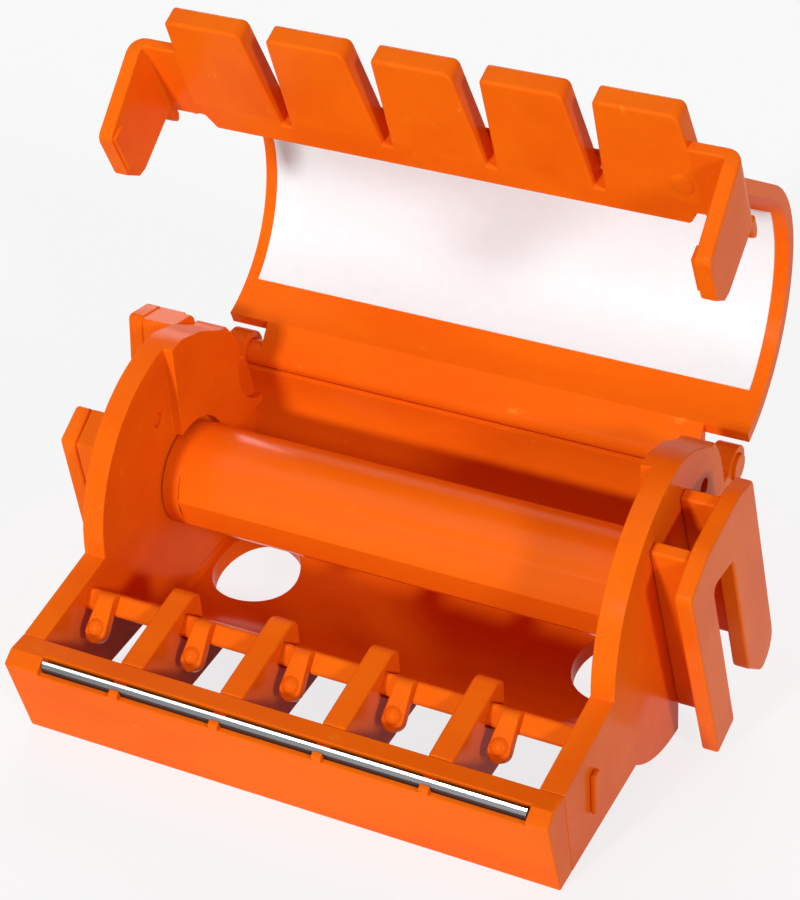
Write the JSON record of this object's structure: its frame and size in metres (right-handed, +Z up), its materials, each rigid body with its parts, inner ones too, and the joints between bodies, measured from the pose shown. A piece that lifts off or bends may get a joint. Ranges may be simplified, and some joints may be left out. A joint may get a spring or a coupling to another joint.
{
  "type": "label tape roll holder",
  "caption": "Small moulded holder for rolls of marker tape: round bed with a spindle, divided cells, a cutter bar, side couplings and a hinged lid with press fingers.",
  "frame": {"origin": "middle of the footprint box, on the table that the lip edge and the round ends stand on", "axes": "+X along the spindle, to the right as seen from the front; +Y to the back, towards the hinge; +Z up"},
  "size_m": [0.0624, 0.0502, 0.0612],
  "materials": {
    "orange_plastic": "semi-gloss moulded",
    "blade_steel": "ground strip",
    "label_film": "plain film"
  },
  "bodies": {
    "base": {"roll_bed": "orange_plastic", "left_end_plate": "orange_plastic", "right_end_plate": "orange_plastic", "cutter_bar": "orange_plastic", "cutter_blade": "blade_steel", "divider_1": "orange_plastic", "divider_2": "orange_plastic", "divider_3": "orange_plastic", "divider_4": "orange_plastic", "left_catch": "orange_plastic", "right_catch": "orange_plastic", "coupling_fork": "orange_plastic", "fork_front_web": "orange_plastic", "fork_rear_web": "orange_plastic", "coupling_bracket": "orange_plastic", "bracket_front_web": "orange_plastic", "bracket_rear_web": "orange_plastic"},
    "spindle": {"roll_spindle": "orange_plastic"},
    "lid": {"lid_shell": "orange_plastic", "finger_rail": "orange_plastic", "lid_label": "label_film"},
    "finger_1": {"press_finger_1": "orange_plastic"},
    "finger_2": {"press_finger_2": "orange_plastic"},
    "finger_3": {"press_finger_3": "orange_plastic"},
    "finger_4": {"press_finger_4": "orange_plastic"},
    "finger_5": {"press_finger_5": "orange_plastic"},
    "tongue_1": {"tape_tongue_1": "orange_plastic"},
    "tongue_2": {"tape_tongue_2": "orange_plastic"},
    "tongue_3": {"tape_tongue_3": "orange_plastic"},
    "tongue_4": {"tape_tongue_4": "orange_plastic"},
    "tongue_5": {"tape_tongue_5": "orange_plastic"},
    "left_latch": {"left_latch_arm": "orange_plastic"},
    "right_latch": {"right_latch_arm": "orange_plastic"}
  },
  "joints": [
    {"name": "lid_hinge", "type": "hinge", "parent": "base", "child": "lid", "pos_m": [0, 0.01581, 0.02224], "axis": [1, 0, 0], "range_deg": [-20, 84]},
    {"name": "spindle_turn", "type": "hinge", "parent": "base", "child": "spindle", "pos_m": [0, 0.00318, 0.015], "axis": [1, 0, 0], "continuous": true},
    {"name": "finger_1_press", "type": "hinge", "parent": "lid", "child": "finger_1", "pos_m": [-0.02, 0.00678, 0.05215], "axis": [1, 0, 0], "range_deg": [0, 5], "stiffness_Nm_per_rad": 0.2},
    {"name": "finger_2_press", "type": "hinge", "parent": "lid", "child": "finger_2", "pos_m": [-0.01, 0.00678, 0.05215], "axis": [1, 0, 0], "range_deg": [0, 5], "stiffness_Nm_per_rad": 0.2},
    {"name": "finger_3_press", "type": "hinge", "parent": "lid", "child": "finger_3", "pos_m": [0, 0.00678, 0.05215], "axis": [1, 0, 0], "range_deg": [0, 5], "stiffness_Nm_per_rad": 0.2},
    {"name": "finger_4_press", "type": "hinge", "parent": "lid", "child": "finger_4", "pos_m": [0.01, 0.00678, 0.05215], "axis": [1, 0, 0], "range_deg": [0, 5], "stiffness_Nm_per_rad": 0.2},
    {"name": "finger_5_press", "type": "hinge", "parent": "lid", "child": "finger_5", "pos_m": [0.02, 0.00678, 0.05215], "axis": [1, 0, 0], "range_deg": [0, 5], "stiffness_Nm_per_rad": 0.2},
    {"name": "tongue_1_flex", "type": "hinge", "parent": "base", "child": "tongue_1", "pos_m": [-0.0219, -0.01512, 0.01074], "axis": [1, 0, 0], "range_deg": [0, 10], "stiffness_Nm_per_rad": 0.02},
    {"name": "tongue_2_flex", "type": "hinge", "parent": "base", "child": "tongue_2", "pos_m": [-0.0119, -0.01512, 0.01074], "axis": [1, 0, 0], "range_deg": [0, 10], "stiffness_Nm_per_rad": 0.02},
    {"name": "tongue_3_flex", "type": "hinge", "parent": "base", "child": "tongue_3", "pos_m": [-0.0019, -0.01512, 0.01074], "axis": [1, 0, 0], "range_deg": [0, 10], "stiffness_Nm_per_rad": 0.02},
    {"name": "tongue_4_flex", "type": "hinge", "parent": "base", "child": "tongue_4", "pos_m": [0.0081, -0.01512, 0.01074], "axis": [1, 0, 0], "range_deg": [0, 10], "stiffness_Nm_per_rad": 0.02},
    {"name": "tongue_5_flex", "type": "hinge", "parent": "base", "child": "tongue_5", "pos_m": [0.0181, -0.01512, 0.01074], "axis": [1, 0, 0], "range_deg": [0, 10], "stiffness_Nm_per_rad": 0.02},
    {"name": "left_latch_flex", "type": "hinge", "parent": "lid", "child": "left_latch", "pos_m": [-0.0279, 0.00435, 0.05277], "axis": [0, 0.524, -0.8517], "range_deg": [0, 4], "stiffness_Nm_per_rad": 0.2},
    {"name": "right_latch_flex", "type": "hinge", "parent": "lid", "child": "right_latch", "pos_m": [0.0279, 0.00435, 0.05277], "axis": [0, -0.524, 0.8517], "range_deg": [0, 4], "stiffness_Nm_per_rad": 0.2}
  ]
}
